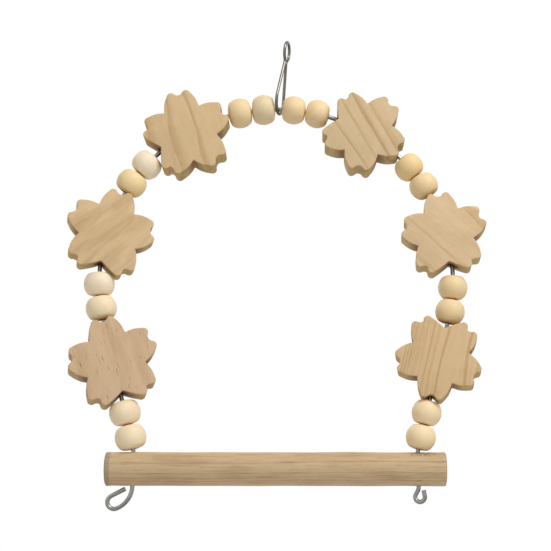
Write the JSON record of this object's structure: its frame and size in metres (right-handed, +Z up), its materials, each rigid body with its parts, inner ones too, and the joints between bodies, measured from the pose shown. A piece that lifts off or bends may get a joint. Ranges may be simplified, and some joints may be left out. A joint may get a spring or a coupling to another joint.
{
  "type": "bird swing",
  "caption": "Cage bird swing: a hoop of wire strung with turning wooden beads and flower blocks, closed by a dowel perch and hung from a sprung wire hook.",
  "frame": {"origin": "the hanging point: the inside top of the hook's bow, where a cage bar carries it", "axes": "+X along the perch, to the right seen from the front; -Y is the front; +Z is up"},
  "size_m": [0.1955, 0.0214, 0.223],
  "materials": {
    "hook_wire": "bright drawn wire",
    "hoop_wire": "bright drawn wire",
    "perch_wood": "bare turned softwood, long grain",
    "flower_wood": "bare sawn softwood, sanded face",
    "bead_wood": "bare turned pale wood"
  },
  "bodies": {
    "hook": {"hanging_hook": "hook_wire"},
    "swing": {"hoop_wire": "hoop_wire", "perch_dowel": "perch_wood"},
    "flower_left_top": {"flower_left_top": "flower_wood"},
    "flower_left_middle": {"flower_left_middle": "flower_wood"},
    "flower_left_low": {"flower_left_low": "flower_wood"},
    "flower_right_top": {"flower_right_top": "flower_wood"},
    "flower_right_middle": {"flower_right_middle": "flower_wood"},
    "flower_right_low": {"flower_right_low": "flower_wood"},
    "bead_left_1": {"bead_left_1": "bead_wood"},
    "bead_left_2": {"bead_left_2": "bead_wood"},
    "bead_left_3": {"bead_left_3": "bead_wood"},
    "bead_left_4": {"bead_left_4": "bead_wood"},
    "bead_left_5": {"bead_left_5": "bead_wood"},
    "bead_left_6": {"bead_left_6": "bead_wood"},
    "bead_left_7": {"bead_left_7": "bead_wood"},
    "bead_left_8": {"bead_left_8": "bead_wood"},
    "bead_right_1": {"bead_right_1": "bead_wood"},
    "bead_right_2": {"bead_right_2": "bead_wood"},
    "bead_right_3": {"bead_right_3": "bead_wood"},
    "bead_right_4": {"bead_right_4": "bead_wood"},
    "bead_right_5": {"bead_right_5": "bead_wood"},
    "bead_right_6": {"bead_right_6": "bead_wood"},
    "bead_right_7": {"bead_right_7": "bead_wood"},
    "bead_right_8": {"bead_right_8": "bead_wood"}
  },
  "joints": [
    {"name": "swing_pivot", "type": "hinge", "parent": "hook", "child": "swing", "pos_m": [-0.00437, 0, -0.03321], "axis": [1, 0, 0], "continuous": true},
    {"name": "spin_flower_left_top", "type": "hinge", "parent": "swing", "child": "flower_left_top", "pos_m": [-0.04748, 0, -0.04627], "axis": [-0.8534, 0, -0.5213], "continuous": true},
    {"name": "spin_flower_left_middle", "type": "hinge", "parent": "swing", "child": "flower_left_middle", "pos_m": [-0.08335, 0, -0.09475], "axis": [-0.2488, 0, -0.9686], "continuous": true},
    {"name": "spin_flower_left_low", "type": "hinge", "parent": "swing", "child": "flower_left_low", "pos_m": [-0.07928, 0, -0.15538], "axis": [0.2528, 0, -0.9675], "continuous": true},
    {"name": "spin_flower_right_top", "type": "hinge", "parent": "swing", "child": "flower_right_top", "pos_m": [0.03581, 0, -0.04607], "axis": [0.8558, 0, -0.5172], "continuous": true},
    {"name": "spin_flower_right_middle", "type": "hinge", "parent": "swing", "child": "flower_right_middle", "pos_m": [0.07234, 0, -0.09611], "axis": [0.2319, 0, -0.9727], "continuous": true},
    {"name": "spin_flower_right_low", "type": "hinge", "parent": "swing", "child": "flower_right_low", "pos_m": [0.06848, 0, -0.15353], "axis": [-0.2497, 0, -0.9683], "continuous": true},
    {"name": "spin_bead_left_1", "type": "hinge", "parent": "swing", "child": "bead_left_1", "pos_m": [-0.01157, 0, -0.03342], "axis": [-0.9974, 0, -0.0723], "continuous": true},
    {"name": "spin_bead_left_2", "type": "hinge", "parent": "swing", "child": "bead_left_2", "pos_m": [-0.02279, 0, -0.03502], "axis": [-0.9777, 0, -0.2101], "continuous": true},
    {"name": "spin_bead_left_3", "type": "hinge", "parent": "swing", "child": "bead_left_3", "pos_m": [-0.06664, 0, -0.06062], "axis": [-0.6636, 0, -0.7481], "continuous": true},
    {"name": "spin_bead_left_4", "type": "hinge", "parent": "swing", "child": "bead_left_4", "pos_m": [-0.07356, 0, -0.06961], "axis": [-0.5533, 0, -0.833], "continuous": true},
    {"name": "spin_bead_left_5", "type": "hinge", "parent": "swing", "child": "bead_left_5", "pos_m": [-0.08709, 0, -0.1184], "axis": [0.0454, 0, -0.999], "continuous": true},
    {"name": "spin_bead_left_6", "type": "hinge", "parent": "swing", "child": "bead_left_6", "pos_m": [-0.08579, 0, -0.12967], "axis": [0.1836, 0, -0.983], "continuous": true},
    {"name": "spin_bead_left_7", "type": "hinge", "parent": "swing", "child": "bead_left_7", "pos_m": [-0.0734, 0, -0.1779], "axis": [0.2528, 0, -0.9675], "continuous": true},
    {"name": "spin_bead_left_8", "type": "hinge", "parent": "swing", "child": "bead_left_8", "pos_m": [-0.07053, 0, -0.18888], "axis": [0.2528, 0, -0.9675], "continuous": true},
    {"name": "spin_bead_right_1", "type": "hinge", "parent": "swing", "child": "bead_right_1", "pos_m": [0.00281, 0, -0.03365], "axis": [0.9946, 0, -0.1041], "continuous": true},
    {"name": "spin_bead_right_2", "type": "hinge", "parent": "swing", "child": "bead_right_2", "pos_m": [0.01398, 0, -0.03561], "axis": [0.9705, 0, -0.2412], "continuous": true},
    {"name": "spin_bead_right_3", "type": "hinge", "parent": "swing", "child": "bead_right_3", "pos_m": [0.05687, 0, -0.06245], "axis": [0.6411, 0, -0.7674], "continuous": true},
    {"name": "spin_bead_right_4", "type": "hinge", "parent": "swing", "child": "bead_right_4", "pos_m": [0.06352, 0, -0.07164], "axis": [0.5284, 0, -0.849], "continuous": true},
    {"name": "spin_bead_right_5", "type": "hinge", "parent": "swing", "child": "bead_right_5", "pos_m": [0.07562, 0, -0.12053], "axis": [-0.0715, 0, -0.9974], "continuous": true},
    {"name": "spin_bead_right_6", "type": "hinge", "parent": "swing", "child": "bead_right_6", "pos_m": [0.07402, 0, -0.13176], "axis": [-0.2093, 0, -0.9779], "continuous": true},
    {"name": "spin_bead_right_7", "type": "hinge", "parent": "swing", "child": "bead_right_7", "pos_m": [0.0622, 0, -0.17789], "axis": [-0.2497, 0, -0.9683], "continuous": true},
    {"name": "spin_bead_right_8", "type": "hinge", "parent": "swing", "child": "bead_right_8", "pos_m": [0.05936, 0, -0.18888], "axis": [-0.2497, 0, -0.9683], "continuous": true}
  ]
}
